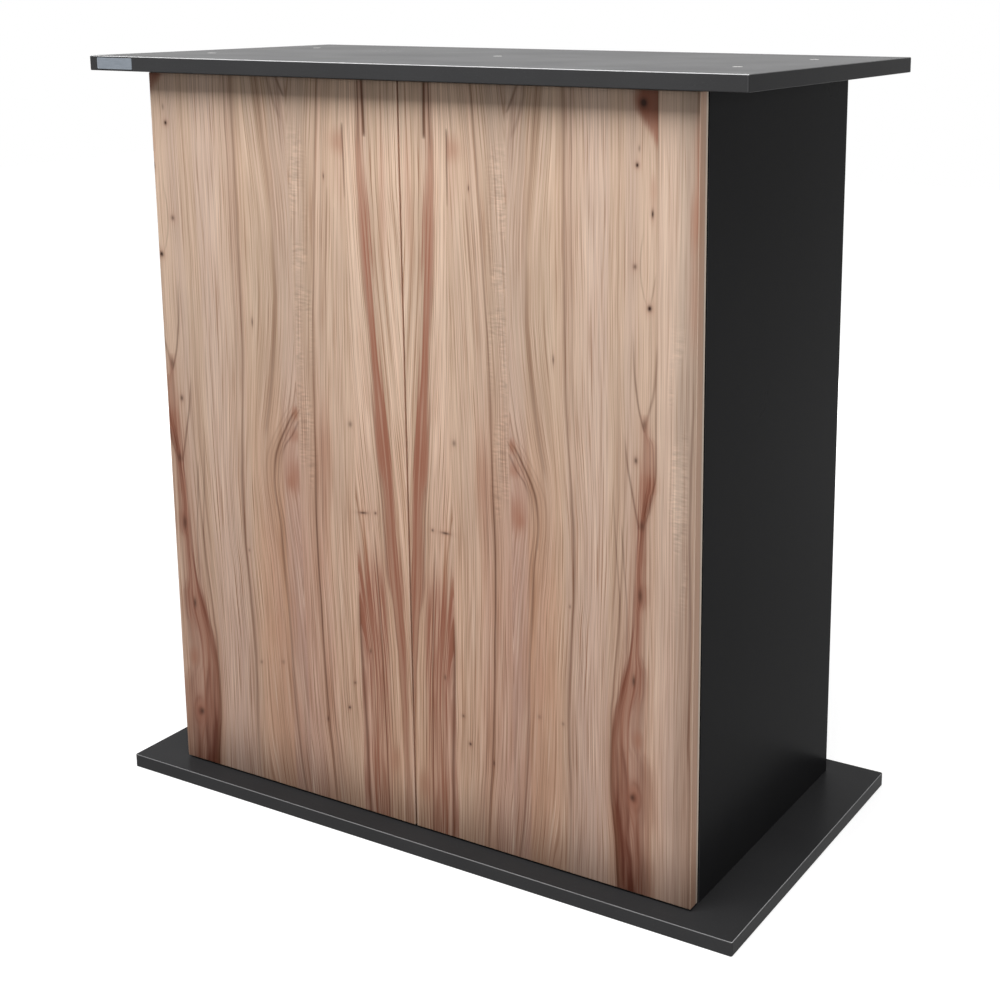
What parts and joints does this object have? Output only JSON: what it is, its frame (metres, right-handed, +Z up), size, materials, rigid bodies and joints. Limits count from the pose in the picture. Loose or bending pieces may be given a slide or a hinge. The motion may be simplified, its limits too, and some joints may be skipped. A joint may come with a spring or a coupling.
{
  "type": "aquarium stand",
  "caption": "Flat-pack aquarium cabinet: dark overhanging top and base plates, a dark body and handle-less wood-decor doors on concealed cup hinges with push latches.",
  "frame": {"origin": "on the floor under the middle of the base plate", "axes": "+Z up, the doors face -Y, +X to the right of a viewer in front"},
  "size_m": [0.8, 0.41, 0.85],
  "materials": {
    "dark_board": "matt anthracite laminate on chipboard",
    "wood_decor": "satin oak-like decor with fine vertical grain",
    "dowel_wood": "plain fluted beech",
    "nickel_steel": "nickel-plated steel",
    "zinc": "die-cast zinc",
    "latch_plastic": "moulded grey plastic",
    "plunger_plastic": "moulded light plastic"
  },
  "bodies": {
    "carcass": {"back_panel": "dark_board", "back_screws": "nickel_steel", "base_dowels": "dowel_wood", "base_panel": "dark_board", "base_screws": "nickel_steel", "cam_bolts": "zinc", "cam_discs": "zinc", "centre_divider": "dark_board", "left_adjust_screws": "nickel_steel", "left_latch_housing": "latch_plastic", "left_latch_screws": "nickel_steel", "left_lower_hinge_arm": "nickel_steel", "left_lower_hinge_mount": "nickel_steel", "left_mount_screws": "nickel_steel", "left_shelf": "dark_board", "left_shelf_pins": "nickel_steel", "left_side_panel": "dark_board", "left_upper_hinge_arm": "nickel_steel", "left_upper_hinge_mount": "nickel_steel", "right_adjust_screws": "nickel_steel", "right_latch_housing": "latch_plastic", "right_latch_screws": "nickel_steel", "right_lower_hinge_arm": "nickel_steel", "right_lower_hinge_mount": "nickel_steel", "right_mount_screws": "nickel_steel", "right_shelf": "dark_board", "right_shelf_pins": "nickel_steel", "right_side_panel": "dark_board", "right_upper_hinge_arm": "nickel_steel", "right_upper_hinge_mount": "nickel_steel", "top_dowels": "dowel_wood", "top_panel": "dark_board", "top_screws": "nickel_steel"},
    "left_door": {"left_cup_screws": "nickel_steel", "left_door": "wood_decor", "left_hinge_pins": "nickel_steel", "left_lower_hinge_cup": "nickel_steel", "left_strike_plate": "nickel_steel", "left_upper_hinge_cup": "nickel_steel"},
    "left_plunger": {"left_latch_plunger": "plunger_plastic"},
    "right_door": {"right_cup_screws": "nickel_steel", "right_door": "wood_decor", "right_hinge_pins": "nickel_steel", "right_lower_hinge_cup": "nickel_steel", "right_strike_plate": "nickel_steel", "right_upper_hinge_cup": "nickel_steel"},
    "right_plunger": {"right_latch_plunger": "plunger_plastic"}
  },
  "joints": [
    {"name": "left_door_swing", "type": "hinge", "parent": "carcass", "child": "left_door", "pos_m": [-0.3335, -0.169, 0.425], "axis": [0, 0, -1], "range_deg": [0, 95]},
    {"name": "left_plunger_slide", "type": "slide", "parent": "carcass", "child": "left_plunger", "axis": [0, -1, 0], "range_m": [0, 0.014]},
    {"name": "right_door_swing", "type": "hinge", "parent": "carcass", "child": "right_door", "pos_m": [0.3335, -0.169, 0.425], "axis": [0, 0, 1], "range_deg": [0, 95]},
    {"name": "right_plunger_slide", "type": "slide", "parent": "carcass", "child": "right_plunger", "axis": [0, -1, 0], "range_m": [0, 0.014]}
  ],
  "couplings": [
    {"joint": "left_plunger_slide", "follows": "left_door_swing", "m_per_rad": 0.008442},
    {"joint": "right_plunger_slide", "follows": "right_door_swing", "m_per_rad": 0.008442}
  ]
}
